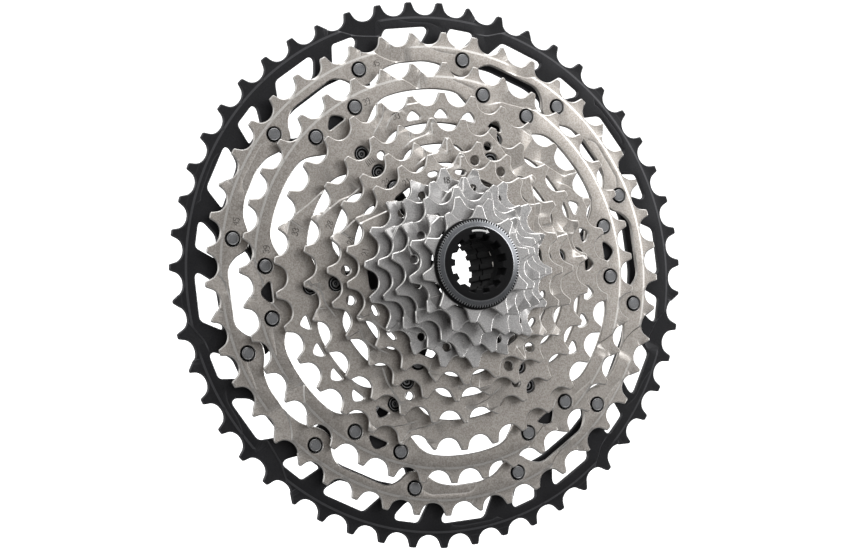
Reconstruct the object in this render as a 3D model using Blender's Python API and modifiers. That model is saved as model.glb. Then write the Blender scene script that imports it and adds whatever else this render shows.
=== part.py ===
# Twelve-speed cassette: twelve sprockets, two riveted carriers, five spacers, a lockring
# and its washer.
# Sizes are in millimetres and become metres when a mesh is made. The world origin is the centre
# of the spline bore at the inboard seat face. Outboard is -Y and up is +Z. Each plate is drawn
# flat, with "height" measured outboard from the seat face, and is then stood up along -Y.
import math

import bmesh
import bpy
from mathutils import Matrix

MM = 0.001

# Chain and tooth form
CHAIN_PITCH = 12.7
TIP_RISE = 1.0
TIP_HALF_WIDTH = 1.35
FOOT_HALF_WIDTH = 3.75
ROOT_DROP = 3.7

# The stack along the axis
TEETH = (51, 45, 39, 33, 28, 24, 21, 18, 16, 14, 12, 10)
PLATE = 1.7
LARGEST_PLATE = 2.3
LARGEST_FRONT = 3.6
SECOND_FRONT = 7.75
AXIAL_PITCH = 3.48
LAST_PAIR_SHIFT = 2.5
GAP = 0.3

# The angle of each sprocket's first tooth, set by its spline so that the shift ramps line up
FIRST_TOOTH = {51: 4.1, 45: 0.6, 39: 6.1, 33: 4.0, 28: 7.0, 24: 2.3,
               21: 1.2, 18: 0.1, 16: 21.7, 14: 20.7, 12: 14.0, 10: 14.6}

# Spline bore, hubs and spacers
SPLINES = 23
SPLINE_MINOR = 15.3
SPLINE_MAJOR = 16.4
HUB_RADIUS = 19.0
HUB_WEB_BORE = 17.6
SPACER_BORE = 16.7
SPACER_RADIUS = 19.4
END_BORE = 13.7
END_SPACER_RADIUS = 16.1
CIRCLE_POINTS = 20

# Arms and rivets
ARMS = 6
FIRST_ARM = 8.2
EVERY_ARM = tuple(range(ARMS))
SECOND_ARMS = (0, 2, 4)
POST_ARMS = (1, 3, 5)
# Each row of rivets: circle radius, angle to either side of the arm, and its arms
RIVETS_45T = (82.16, 15.0, EVERY_ARM)
RIVETS_39T = (70.05, 8.0, EVERY_ARM)
RIVETS_33T = (54.2, 0.0, EVERY_ARM)
RIVETS_28T = (45.3, 0.0, EVERY_ARM)
RIVETS_24T = (37.6, 0.0, SECOND_ARMS)
POSTS = (37.6, 0.0, POST_ARMS)
RIVET_SHANK = 1.45
RIVET_HOLE = 2.1
RIVET_HEAD = 2.35
RIVET_HEAD_HEIGHT = 0.9
RIVET_COLLAR = 2.6
RIVET_SIDES = 6

# Carriers
LARGE_WEB = (3.9, 5.75)
LARGE_RIB = (4.6, 9.2)
LARGE_HUB = (0.0, 11.2)
SMALL_WEB = (11.6, 12.7)
SMALL_RIB = (12.2, 16.15)
SMALL_HUB = (11.5, 23.1)

# Lockring
LOCK_FLANGE_RADIUS = 16.25
LOCK_FACE_RADIUS = 13.6
LOCK_BARREL_RADIUS = 13.2
LOCK_BORE = 9.4
LOCK_BACK = 46.2
LOCK_RIM = 46.95
LOCK_FACE = 47.6
LOCK_BARREL_END = 38.0
WASHER = (45.35, 45.9)
WASHER_RADIUS = 15.6
LOCK_STEPS = 20
NOTCHES = 12
NOTCH_DEPTH = 1.5
NOTCH_WIDTH = 2.6
NOTCH_LENGTH = 5.0


def material(name, color, roughness, metallic):
    made = bpy.data.materials.new(name)
    made.use_nodes = True
    shader = made.node_tree.nodes["Principled BSDF"]
    shader.inputs["Base Color"].default_value = (*color, 1.0)
    shader.inputs["Roughness"].default_value = roughness
    shader.inputs["Metallic"].default_value = metallic
    return made


def pitch_radius(teeth):
    return CHAIN_PITCH / (2.0 * math.sin(math.pi / teeth))


def front_of(teeth):
    # Height of a sprocket's outboard face.
    if teeth == TEETH[0]:
        return LARGEST_FRONT
    height = SECOND_FRONT + AXIAL_PITCH * (TEETH.index(teeth) - 1)
    return height + (LAST_PAIR_SHIFT if teeth <= 12 else 0.0)


def back_of(teeth):
    return front_of(teeth) - (LARGEST_PLATE if teeth == TEETH[0] else PLATE)


def polar(degrees, radius):
    turn = math.radians(degrees)
    return radius * math.cos(turn), radius * math.sin(turn)


def circle(radius, points=CIRCLE_POINTS, center=(0.0, 0.0)):
    ring = (polar(360.0 * step / points, radius) for step in range(points))
    return [(center[0] + x, center[1] + y) for x, y in ring]


def tooth_outline(teeth):
    # Four points a tooth: two at the tip and two at its foot.
    pitch = pitch_radius(teeth)
    tip = math.degrees(TIP_HALF_WIDTH / pitch)
    foot = math.degrees(FOOT_HALF_WIDTH / pitch)
    return repeated(teeth, FIRST_TOOTH[teeth], (
        (-foot, pitch - ROOT_DROP), (-tip, pitch + TIP_RISE),
        (tip, pitch + TIP_RISE), (foot, pitch - ROOT_DROP)))


def repeated(count, first, offsets):
    # One list of (angle offset, radius) pairs, repeated around the axis.
    turns = (first + 360.0 * index / count for index in range(count))
    return [polar(turn + offset, radius) for turn in turns for offset, radius in offsets]


def spline_bore():
    return repeated(SPLINES, 0.0, ((0.0, SPLINE_MINOR), (180.0 / SPLINES, SPLINE_MAJOR)))


def rivet_places(row):
    # Positions of the rivets of one row: one or two on each of its arms.
    circle_radius, spread, arms = row
    sides = (-spread, spread) if spread else (0.0,)
    angles = [FIRST_ARM + 360.0 * arm / ARMS + side for arm in arms for side in sides]
    return [polar(angle, circle_radius) for angle in angles]


def rivet_holes(row):
    return [circle(RIVET_HOLE, RIVET_SIDES, place) for place in rivet_places(row)]


def window(middle, corners):
    # A window given by (angle offset, radius) corners about its middle.
    return [polar(middle + offset, radius) for offset, radius in corners]


def link(thing, collection):
    collection.objects.link(thing)
    return thing


def plate(name, outlines, back, front, look, collection):
    # Closed flat outlines, filled with their holes left open, from height back to height front.
    curve = bpy.data.curves.new(name, "CURVE")
    curve.dimensions = "2D"
    curve.fill_mode = "BOTH"
    curve.extrude = (front - back) / 2.0
    for outline in outlines:
        spline = curve.splines.new("POLY")
        spline.points.add(len(outline) - 1)
        spline.use_cyclic_u = True
        for point, (x, y) in zip(spline.points, outline):
            point.co = (x, y, 0.0, 1.0)
    drawn = link(bpy.data.objects.new(name + "_outline", curve), bpy.context.scene.collection)
    graph = bpy.context.evaluated_depsgraph_get()
    mesh = bpy.data.meshes.new_from_object(drawn.evaluated_get(graph))
    bpy.data.objects.remove(drawn)
    mesh.transform(Matrix.Scale(MM, 4) @ Matrix.Translation((0.0, 0.0, (back + front) / 2.0)))
    weld(mesh)
    mesh.name = name
    mesh.materials.clear()
    mesh.materials.append(look)
    return stand_up(link(bpy.data.objects.new(name, mesh), collection))


def weld(mesh):
    edit = bmesh.new()
    edit.from_mesh(mesh)
    bmesh.ops.remove_doubles(edit, verts=edit.verts, dist=0.005 * MM)
    bmesh.ops.recalc_face_normals(edit, faces=edit.faces)
    edit.to_mesh(mesh)
    edit.free()


def stand_up(thing):
    # The drawing's height axis becomes -Y.
    thing.rotation_euler.x = math.pi / 2.0
    return thing


def profile_mesh(name, profile, look):
    # An open line of (radius, height) points, top to bottom, for a Screw modifier.
    mesh = bpy.data.meshes.new(name)
    edges = [(index, index + 1) for index in range(len(profile) - 1)]
    mesh.from_pydata([(x * MM, 0.0, z * MM) for x, z in profile], edges, [])
    mesh.materials.append(look)
    return mesh


def turn_profile(thing, steps):
    screw = thing.modifiers.new("Turn", "SCREW")
    screw.steps = steps
    screw.render_steps = steps
    screw.use_merge_vertices = True
    screw.merge_threshold = 0.01 * MM
    return thing


def boolean(thing, tool, operation):
    step = thing.modifiers.new(tool.name, "BOOLEAN")
    step.operation = operation
    step.solver = "EXACT"
    step.object = tool


def hide_tool(tool):
    tool.hide_render = True
    tool.display_type = "WIRE"
    return tool


def sprocket(teeth, inner, looks, collection):
    look = looks["black"] if teeth == TEETH[0] else looks["nickel"]
    outlines = [tooth_outline(teeth)] + inner
    return plate(f"sprocket_{teeth}t", outlines, back_of(teeth), front_of(teeth), look, collection)


def lobed_edge(opening, lobe, opening_half, lobe_half):
    # Inner edge with a lobe on each arm and a round-topped opening between arms.
    half = 180.0 / ARMS
    top = opening + 0.5
    return repeated(ARMS, FIRST_ARM, (
        (-half, top), (-half + opening_half / 2.0, top), (-half + opening_half, opening),
        (-lobe_half, lobe), (0.0, lobe), (lobe_half, lobe),
        (half - opening_half, opening), (half - opening_half / 2.0, top)))


def windows_51t():
    # A narrow slanted window outside each rivet, and a wide one between rivets.
    narrow = ((2.9, 94.8), (-2.8, 94.8), (-3.0, 92.8), (-1.0, 88.0), (0.4, 86.8), (5.0, 86.8))
    wide = ((5.3, 94.8), (-5.0, 94.8), (-5.4, 93.0), (-3.6, 88.0), (-2.2, 86.8), (8.6, 86.8))
    found = []
    for index in range(2 * ARMS):
        rivet = FIRST_ARM + RIVETS_45T[1] + 180.0 * index / ARMS
        found += [window(rivet, narrow), window(rivet - 16.0, wide)]
    return found


def inner_51t():
    edge = repeated(2 * ARMS, FIRST_ARM + RIVETS_45T[1], (
        (-9.5, 82.0), (-4.0, 81.6), (-2.4, 79.0), (2.4, 79.0), (4.0, 81.6), (9.5, 82.0)))
    return [edge] + windows_51t() + rivet_holes(RIVETS_45T)


def inner_45t():
    # High windows on the arms, lower arcs between them, and a lobe at each rivet.
    spread = RIVETS_45T[1]
    edge = repeated(ARMS, FIRST_ARM, (
        (-spread - 2.6, 76.6), (-spread, 75.6), (-spread + 3.2, 76.6), (-9.8, 81.6), (-7.0, 83.3),
        (7.0, 83.3), (9.8, 81.6), (spread - 3.2, 76.6), (spread, 75.6), (spread + 2.6, 76.6),
        (21.5, 79.4), (26.0, 80.6), (34.0, 80.6), (38.5, 79.4)))
    return [edge] + rivet_holes(RIVETS_45T)


def inner_39t():
    edge = lobed_edge(69.0, 61.0, 14.0, 7.5)
    between = ((-3.3, 68.2), (3.3, 68.2), (2.9, 69.6), (0.7, 72.0), (-0.7, 72.0), (-2.9, 69.6))
    arms = [FIRST_ARM + 360.0 * arm / ARMS for arm in range(ARMS) if arm != 1]
    return [edge] + [window(arm, between) for arm in arms] + rivet_holes(RIVETS_39T)


def inner_33t():
    # Small rounded triangles sit under the teeth that have no ramp.
    edge = lobed_edge(55.6, 51.0, 15.0, 8.0)
    plain_teeth = (0, 1, 2, 6, 7, 8, 9, 18, 19, 20, 21, 22, 30, 31, 32)
    triangle = ((-2.7, 58.0), (2.7, 58.0), (2.4, 59.4), (0.6, 61.3), (-0.6, 61.3), (-2.4, 59.4))
    step = 360.0 / 33
    found = [window(FIRST_TOOTH[33] + 0.5 + step * tooth, triangle) for tooth in plain_teeth]
    return [edge] + found + rivet_holes(RIVETS_33T)


def inner_28t():
    return [lobed_edge(47.2, 41.5, 13.0, 9.0)] + rivet_holes(RIVETS_28T)


def inner_24t():
    return [lobed_edge(39.6, 34.4, 13.0, 9.0)] + rivet_holes(RIVETS_24T)


def inner_21t():
    # Bore, an opening on each arm, and three pairs of small ovals.
    opening = ((-7.0, 35.2), (-10.0, 28.0), (-7.0, 24.5), (7.0, 24.5), (10.0, 28.0), (7.0, 35.2))
    oval = ((-4.0, 36.2), (-2.6, 35.2), (2.6, 35.2), (4.0, 36.2), (2.6, 37.2), (-2.6, 37.2))
    arms = [window(FIRST_ARM + 360.0 * arm / ARMS, opening) for arm in range(ARMS)]
    ovals = [window(96.0 + 120.0 * third + side, oval) for third in range(3) for side in (-8.8, 8.8)]
    return [spline_bore()] + arms + ovals


def inner_18t():
    # Round holes under four pairs of teeth.
    return [spline_bore()] + [circle(1.5, 6, polar(degrees, 30.1))
                              for degrees in (60, 80, 120, 140, 240, 260, 300, 320)]


def inner_14t():
    # Round holes under six neighbouring teeth.
    step = 360.0 / 14
    return [spline_bore()] + [circle(1.5, 6, polar(FIRST_TOOTH[14] + step * tooth, 20.9))
                              for tooth in range(4, 10)]


def sprockets(looks, collection):
    inner = {51: inner_51t(), 45: inner_45t(), 39: inner_39t(), 33: inner_33t(), 28: inner_28t(),
             24: inner_24t(), 21: inner_21t(), 18: inner_18t(), 16: [spline_bore()],
             14: inner_14t(), 12: [spline_bore()], 10: [circle(END_BORE)]}
    for teeth in TEETH:
        sprocket(teeth, inner[teeth], looks, collection)


def arm_outline(half_shape):
    # Six arms from one half shape of (angle offset, radius) points, tip first.
    mirrored = [(-offset, radius) for offset, radius in reversed(half_shape) if offset]
    return repeated(ARMS, FIRST_ARM, mirrored + list(half_shape))


def drill(name, rows, back, front, looks, tools):
    # All the rivet holes of a carrier, as one cutter.
    holes = [hole for row in rows for hole in rivet_holes(row)]
    return hide_tool(plate(name, holes, back - 1.0, front + 1.0, looks["black"], tools))


def carrier(name, web_shape, rib_shape, levels, rows, looks, collection, tools):
    # A flat web with six arms, ribs on its outboard side, a splined hub and the rivet holes.
    web, rib, hub = levels
    look = looks["black"]
    bore = circle(HUB_WEB_BORE)
    made = plate(name, [arm_outline(web_shape), bore], *web, look, collection)
    ribs = plate(name + "_ribs", [arm_outline(rib_shape), bore], *rib, look, tools)
    core = plate(name + "_hub", [circle(HUB_RADIUS), spline_bore()], *hub, look, tools)
    boolean(made, hide_tool(ribs), "UNION")
    boolean(made, hide_tool(core), "UNION")
    boolean(made, drill(name + "_drill", rows, web[0], rib[1], looks, tools), "DIFFERENCE")
    return made


def carriers(looks, collection, tools):
    tip = RIVETS_45T[1]
    carrier("carrier_large",
            ((0.0, 72.9), (tip - 5.0, 73.6), (tip - 2.4, 76.0), (tip - 2.3, 85.2), (tip + 2.3, 85.2),
             (tip + 2.4, 74.5), (tip + 0.6, 70.5), (10.5, 66.0), (4.6, 59.0), (10.0, 27.0)),
            ((0.0, 72.4), (10.6, 73.0), (11.6, 69.5), (7.6, 66.0), (3.6, 58.0), (6.5, 27.0)),
            (LARGE_WEB, LARGE_RIB, LARGE_HUB),
            (RIVETS_45T, RIVETS_39T), looks, collection, tools)
    small = carrier("carrier_small",
                    ((0.0, 57.4), (2.6, 57.0), (3.9, 54.2), (4.6, 47.0), (11.0, 27.0)),
                    ((0.0, 48.3), (3.4, 47.9), (5.6, 41.0), (7.5, 27.0)),
                    (SMALL_WEB, SMALL_RIB, SMALL_HUB),
                    (RIVETS_33T, RIVETS_28T, RIVETS_24T), looks, collection, tools)
    posts = [circle(RIVET_COLLAR, 12, place) for place in rivet_places(POSTS)]
    raised = plate("carrier_small_posts", posts, SMALL_WEB[1], back_of(24) - GAP, looks["black"], tools)
    boolean(small, hide_tool(raised), "UNION")


def rivet_profile(front, back, collar):
    # Head in front of the outboard plate, shank, and a tail behind the inboard one. A collar,
    # given as a pair of heights, keeps two plates apart.
    top = front + GAP
    bottom = back - GAP
    line = [(0.0, top + RIVET_HEAD_HEIGHT), (RIVET_HEAD, top + RIVET_HEAD_HEIGHT), (RIVET_HEAD, top),
            (RIVET_SHANK, top)]
    if collar:
        line += [(RIVET_SHANK, collar[0]), (RIVET_COLLAR, collar[0]),
                 (RIVET_COLLAR, collar[1]), (RIVET_SHANK, collar[1])]
    return line + [(RIVET_SHANK, bottom), (RIVET_HEAD, bottom),
                   (RIVET_HEAD, bottom - RIVET_HEAD_HEIGHT), (0.0, bottom - RIVET_HEAD_HEIGHT)]


def rivet_row(name, row, front, back, looks, collection, collar=()):
    mesh = profile_mesh(name, rivet_profile(front, back, collar), looks["steel"])
    for number, (x, z) in enumerate(rivet_places(row), 1):
        made = link(bpy.data.objects.new(f"{name}_{number:02d}", mesh), collection)
        turn_profile(stand_up(made), RIVET_SIDES)
        made.location = (x * MM, 0.0, z * MM)


def rivets(looks, collection):
    web = SMALL_WEB[0]
    rivet_row("rivet_45t", RIVETS_45T, front_of(45), back_of(51), looks, collection)
    rivet_row("rivet_39t", RIVETS_39T, front_of(39), LARGE_WEB[0], looks, collection)
    rivet_row("rivet_33t", RIVETS_33T, front_of(33), web, looks, collection)
    rivet_row("rivet_28t", RIVETS_28T, front_of(28), web, looks, collection)
    rivet_row("rivet_24t", RIVETS_24T, front_of(24), web, looks, collection,
              (back_of(24) - GAP, SMALL_RIB[1] + GAP))


def spacers(looks, collection):
    for larger, smaller in ((21, 18), (18, 16), (16, 14), (14, 12), (12, 10)):
        end = smaller == 10
        outer = END_SPACER_RADIUS if end else SPACER_RADIUS
        inner = END_BORE if end else SPACER_BORE
        plate(f"spacer_{larger}t_{smaller}t", [circle(outer), circle(inner)],
              front_of(larger) + GAP, back_of(smaller) - GAP, looks["spacer"], collection)


def lockring(looks, collection, tools):
    # A flanged, threaded ring, with tool notches around the mouth of its bore.
    profile = ((LOCK_BORE, LOCK_FACE), (LOCK_FACE_RADIUS, LOCK_FACE), (LOCK_FLANGE_RADIUS, LOCK_RIM),
               (LOCK_FLANGE_RADIUS, LOCK_BACK), (LOCK_BARREL_RADIUS, LOCK_BACK),
               (LOCK_BARREL_RADIUS, LOCK_BARREL_END), (LOCK_BORE, LOCK_BARREL_END),
               (LOCK_BORE, LOCK_FACE))
    mesh = profile_mesh("lockring", profile, looks["black"])
    made = link(bpy.data.objects.new("lockring", mesh), collection)
    turn_profile(stand_up(made), LOCK_STEPS)
    slots = []
    reach = LOCK_BORE + NOTCH_DEPTH
    for index in range(NOTCHES):
        middle = 360.0 * index / NOTCHES
        half = math.degrees(NOTCH_WIDTH / 2.0 / LOCK_BORE)
        slots.append(window(middle, ((-half, LOCK_BORE - 1.5), (half, LOCK_BORE - 1.5),
                                     (half * 0.8, reach), (-half * 0.8, reach))))
    cutter = plate("lockring_notches", slots, LOCK_FACE - NOTCH_LENGTH, LOCK_FACE + 1.0,
                   looks["black"], tools)
    boolean(made, hide_tool(cutter), "DIFFERENCE")


def lock_washer(looks, collection):
    plate("lock_washer", [circle(WASHER_RADIUS), circle(END_BORE)], *WASHER, looks["spacer"], collection)


def new_collection(name):
    made = bpy.data.collections.new(name)
    bpy.context.scene.collection.children.link(made)
    return made


def main():
    for thing in list(bpy.data.objects):
        bpy.data.objects.remove(thing)
    looks = {"black": material("black_anodised", (0.022, 0.022, 0.025), 0.45, 0.6),
             "nickel": material("satin_nickel", (0.42, 0.38, 0.34), 0.4, 0.9),
             "steel": material("rivet_steel", (0.16, 0.165, 0.175), 0.5, 0.8),
             "spacer": material("spacer_alloy", (0.3, 0.3, 0.31), 0.5, 0.8)}
    cassette = new_collection("cassette_sprocket")
    tools = new_collection("cutters")
    sprockets(looks, cassette)
    carriers(looks, cassette, tools)
    rivets(looks, cassette)
    spacers(looks, cassette)
    lock_washer(looks, cassette)
    lockring(looks, cassette, tools)


main()
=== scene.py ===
# A twelve-speed bicycle cassette around its fitted frame: toothed rings, two arm carriers,
# spacers, rivets and a lockring. Sizes are in millimetres and become metres in each mesh.
# Flat shapes are drawn as (x, z) points; height is measured outboard, along -Y.
import math

import bmesh
import bpy
import numpy as np
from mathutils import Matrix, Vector
from mathutils.geometry import delaunay_2d_cdt


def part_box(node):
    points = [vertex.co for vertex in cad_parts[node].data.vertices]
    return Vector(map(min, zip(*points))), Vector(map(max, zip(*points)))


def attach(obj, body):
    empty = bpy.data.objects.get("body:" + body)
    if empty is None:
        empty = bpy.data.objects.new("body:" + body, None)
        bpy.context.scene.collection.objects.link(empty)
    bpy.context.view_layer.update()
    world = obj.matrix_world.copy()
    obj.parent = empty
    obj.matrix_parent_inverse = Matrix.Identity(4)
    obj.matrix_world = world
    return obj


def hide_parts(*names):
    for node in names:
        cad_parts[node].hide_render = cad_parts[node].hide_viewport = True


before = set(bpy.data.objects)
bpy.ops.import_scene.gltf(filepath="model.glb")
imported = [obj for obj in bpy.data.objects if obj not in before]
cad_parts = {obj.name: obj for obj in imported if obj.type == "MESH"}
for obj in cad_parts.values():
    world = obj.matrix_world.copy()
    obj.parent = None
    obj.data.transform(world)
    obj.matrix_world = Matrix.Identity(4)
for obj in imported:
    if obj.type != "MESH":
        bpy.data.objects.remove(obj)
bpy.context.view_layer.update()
mm = 0.001
chainPitch = 12.7
# The angle of both carriers' first arm, and the angle from one arm to the next
firstArm = 8.2
armTurn = 60.0


def report(text):
    print("cassette:", text)


def heightsOf(node):
    low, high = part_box(node)
    return -high[1] / mm, -low[1] / mm


def polar(angle, radius):
    turn = np.radians(angle)
    return np.stack((radius * np.cos(turn), radius * np.sin(turn)), axis=-1)


def around(count, first, shape):
    # One list of (angle offset, radius) pairs, carried round the axis count times.
    shape = np.asarray(shape, float)
    angles = first + 360.0 * np.arange(count)[:, None] / count + shape[None, :, 0]
    radii = np.broadcast_to(shape[None, :, 1], angles.shape)
    return polar(angles, radii).reshape(-1, 2)


def circle(radius, points=24, center=(0.0, 0.0)):
    return np.asarray(center) + polar(np.arange(points) * 360.0 / points, np.full(points, radius))


def rounded(corners, radius, steps=6):
    # Each corner becomes a parabola that leaves both of its sides "radius" before the corner,
    # or just before the middle of a short side.
    most = 0.47
    corners = np.asarray(corners, float)
    behind = np.roll(corners, 1, axis=0) - corners
    ahead = np.roll(corners, -1, axis=0) - corners
    start = corners + behind * np.minimum(radius / np.linalg.norm(behind, axis=1), most)[:, None]
    end = corners + ahead * np.minimum(radius / np.linalg.norm(ahead, axis=1), most)[:, None]
    t = np.linspace(0.0, 1.0, steps)[None, :, None]
    curve = (1 - t) ** 2 * start[:, None] + 2 * t * (1 - t) * corners[:, None] + t ** 2 * end[:, None]
    return curve.reshape(-1, 2)


def spaced(loop, step):
    # A closed loop without its shortest sides, divided evenly into parts no longer than step.
    shortest = 0.06
    apart = np.linalg.norm(np.roll(loop, -1, axis=0) - loop, axis=1)
    loop = loop[apart > shortest]
    ahead = np.roll(loop, -1, axis=0)
    parts = np.maximum(np.ceil(np.linalg.norm(ahead - loop, axis=1) / step), 1).astype(int)
    side = np.repeat(np.arange(len(loop)), parts)
    part = np.arange(parts.sum()) - np.repeat(np.cumsum(parts) - parts, parts)
    share = (part / parts[side])[:, None]
    return loop[side] * (1 - share) + ahead[side] * share


def wound(loop, material):
    # Counter-clockwise where the material is inside the loop, clockwise where it is outside.
    x, y = loop.T
    area = np.sum(x * np.roll(y, -1) - np.roll(x, -1) * y)
    return loop if (area > 0) == material else loop[::-1]


def inset(loop, distance):
    # Each point moves to its left, square to the mean of the two sides that meet there, and
    # a sharp corner's point moves no further than distance / sharpest.
    sharpest = 0.6
    ahead = np.roll(loop, -1, axis=0) - loop
    ahead = ahead / np.linalg.norm(ahead, axis=1)[:, None]
    behind = np.roll(ahead, 1, axis=0)
    left = np.stack((-(ahead + behind)[:, 1], (ahead + behind)[:, 0]), axis=1)
    left = left / np.linalg.norm(left, axis=1)[:, None]
    square = np.stack((-ahead[:, 1], ahead[:, 0]), axis=1)
    reach = np.maximum(np.sum(left * square, axis=1), sharpest)
    return loop + left * (distance / reach)[:, None]


def untangled(loop, reach=16):
    # Where the loop crosses itself in a tight corner, the points between go to the crossing.
    loop, count = loop.copy(), len(loop)
    for gap in range(min(reach, count // 2), 1, -1):
        start, way = loop, np.roll(loop, -1, axis=0) - loop
        other, across = np.roll(start, -gap, axis=0), np.roll(way, -gap, axis=0)
        size = way[:, 0] * across[:, 1] - way[:, 1] * across[:, 0]
        size = np.where(np.abs(size) < 1e-12, np.inf, size)
        apart = other - start
        here = (apart[:, 0] * across[:, 1] - apart[:, 1] * across[:, 0]) / size
        there = (apart[:, 0] * way[:, 1] - apart[:, 1] * way[:, 0]) / size
        for index in np.flatnonzero((here > 0) & (here < 1) & (there > 0) & (there < 1)):
            loop[(index + 1 + np.arange(gap)) % count] = start[index] + here[index] * way[index]
    return loop


def smoothLine(points, step=0.5, passes=6):
    # An open line through (angle, radius) points, resampled evenly and then softened.
    points = polar(*np.asarray(points, float).T)
    length = np.concatenate(([0.0], np.cumsum(np.linalg.norm(np.diff(points, axis=0), axis=1))))
    at = np.linspace(0.0, length[-1], max(int(length[-1] / step), 3) + 1)
    line = np.stack((np.interp(at, length, points[:, 0]), np.interp(at, length, points[:, 1])), axis=1)
    for _ in range(passes):
        line[1:-1] = (line[:-2] + 2.0 * line[1:-1] + line[2:]) / 4.0
    return line


def beside(line, distance):
    # The open line moved to its left.
    way = np.gradient(line, axis=0)
    way = way / np.linalg.norm(way, axis=1)[:, None]
    return line + distance * np.stack((-way[:, 1], way[:, 0]), axis=1)


def measured(points, line):
    # For each point: how far it lies to the left of the nearest part of the line, how far it
    # is from the line, and its share of the way along it.
    start, way = line[:-1], np.diff(line, axis=0)
    length = np.linalg.norm(way, axis=1)
    unit = way / length[:, None]
    gap = points[:, None] - start[None]
    along = np.clip(np.sum(gap * unit, axis=2), 0.0, length)
    off = np.linalg.norm(gap - along[..., None] * unit, axis=2)
    nearest = np.argmin(off, axis=1)
    row = np.arange(len(points))
    gap, unit = gap[row, nearest], unit[nearest]
    left = unit[:, 0] * gap[:, 1] - unit[:, 1] * gap[:, 0]
    share = (np.cumsum(length) - length)[nearest] + along[row, nearest]
    return left, off[row, nearest], share / length.sum()


def sides(loops):
    return np.vstack(loops), np.vstack([np.roll(loop, -1, axis=0) for loop in loops])


def insideOf(points, loops, block=1500):
    # Even-odd rule: a ray towards +x crosses the loops an odd number of times from inside.
    a, b = sides(loops)
    slope = (b[:, 0] - a[:, 0]) / np.where(b[:, 1] == a[:, 1], 1.0, b[:, 1] - a[:, 1])
    found = []
    for first in range(0, len(points), block):
        x, y = points[first:first + block, None, 0], points[first:first + block, None, 1]
        crosses = ((a[:, 1] > y) != (b[:, 1] > y)) & (x < a[:, 0] + (y - a[:, 1]) * slope)
        found.append(crosses.sum(axis=1) % 2 == 1)
    return np.concatenate(found) if found else np.zeros(0, bool)


def clearOf(points, loops, margin, block=1500):
    # True where a point is further than margin from every side of the loops.
    a, b = sides(loops)
    way = b - a
    size = np.maximum(np.sum(way ** 2, axis=1), 1e-12)
    found = []
    for first in range(0, len(points), block):
        gap = points[first:first + block, None] - a[None]
        share = np.clip(np.sum(gap * way, axis=2) / size, 0.0, 1.0)[..., None]
        found.append(np.min(np.sum((gap - share * way) ** 2, axis=2), axis=1) > margin ** 2)
    return np.concatenate(found)


def sealed(mesh):
    # Joins doubled corners, fills gaps of a few sides, and turns every face outwards.
    together, gapSides = 2e-7, 12
    work = bmesh.new()
    work.from_mesh(mesh)
    bmesh.ops.remove_doubles(work, verts=work.verts, dist=together)
    gaps = [edge for edge in work.edges if len(edge.link_faces) == 1]
    bmesh.ops.holes_fill(work, edges=gaps, sides=gapSides)
    loose = [corner for corner in work.verts if not corner.link_faces]
    bmesh.ops.delete(work, geom=loose, context="VERTS")
    bmesh.ops.recalc_face_normals(work, faces=work.faces)
    work.to_mesh(mesh)
    work.free()


def meshFrom(name, points, faces, edge=None, smoothAngle=32.0, sealedToo=False):
    # points are (x, z, height) rows; edge is one value a face, 1 on an edge painted brighter, partly as
    # polished wear and partly as painted highlight.
    mesh = bpy.data.meshes.new(name)
    placed = np.stack((points[:, 0], -points[:, 2], points[:, 1]), axis=1) * mm
    mesh.from_pydata(placed, [], faces)
    if edge is not None:
        wornAndHighlit = mesh.attributes.new("edge", "FLOAT", "FACE")
        wornAndHighlit.data.foreach_set("value", np.asarray(edge, np.float32))
    if sealedToo:
        sealed(mesh)
    mesh.shade_smooth()
    mesh.set_sharp_from_angle(angle=math.radians(smoothAngle))
    mesh.update()
    return mesh


def place(name, mesh, materials, body, slot, *nodes):
    for material in materials:
        mesh.materials.append(material)
    piece = bpy.data.objects.new(name, mesh)
    bpy.context.scene.collection.objects.link(piece)
    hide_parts(*nodes)
    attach(piece, body)
    return piece


def strip(first, second, count):
    # Quads between two closed rows of count points, facing right of the row's direction.
    here = np.arange(count)
    ahead = (here + 1) % count
    return np.stack((first + here, second + here, second + ahead, first + ahead), axis=1)


def filled(loops, lines, margin):
    # Triangles between the loops, with the open lines drawn in wherever they are clear of the
    # loops. A line's other points go far away and take no part. What is returned is the new
    # points, and triangles that count the loops' own points first.
    farAway = 1e4
    points, edges, base = [np.vstack(loops)], [], 0
    for loop in loops:
        here = base + np.arange(len(loop))
        edges.append(np.stack((here, base + (np.arange(len(loop)) + 1) % len(loop)), axis=1))
        base += len(loop)
    boundary = base
    for line in lines:
        keep = insideOf(line, loops) & clearOf(line, loops, margin)
        here = base + np.arange(len(line) - 1)
        edges.append(np.stack((here, here + 1), axis=1)[keep[:-1] & keep[1:]])
        points.append(np.where(keep[:, None], line, farAway + line))
        base += len(line)
    points = np.vstack(points)
    result = delaunay_2d_cdt([Vector(p) for p in points], np.vstack(edges).tolist(), [], 0, 1e-4)
    found = np.array(result[0])
    source = np.array([origin[0] if origin else -1 for origin in result[3]])
    triangles = np.array(result[2])
    near = np.all(np.abs(found[triangles]).max(axis=2) < farAway / 2.0, axis=1)
    triangles = triangles[near]
    triangles = triangles[insideOf(found[triangles].mean(axis=1), loops)]
    target = np.where((source >= 0) & (source < boundary), source, -1)
    fresh = np.unique(triangles[target[triangles] < 0])
    target[fresh] = boundary + np.arange(len(fresh))
    return found[fresh], target[triangles]


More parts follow.
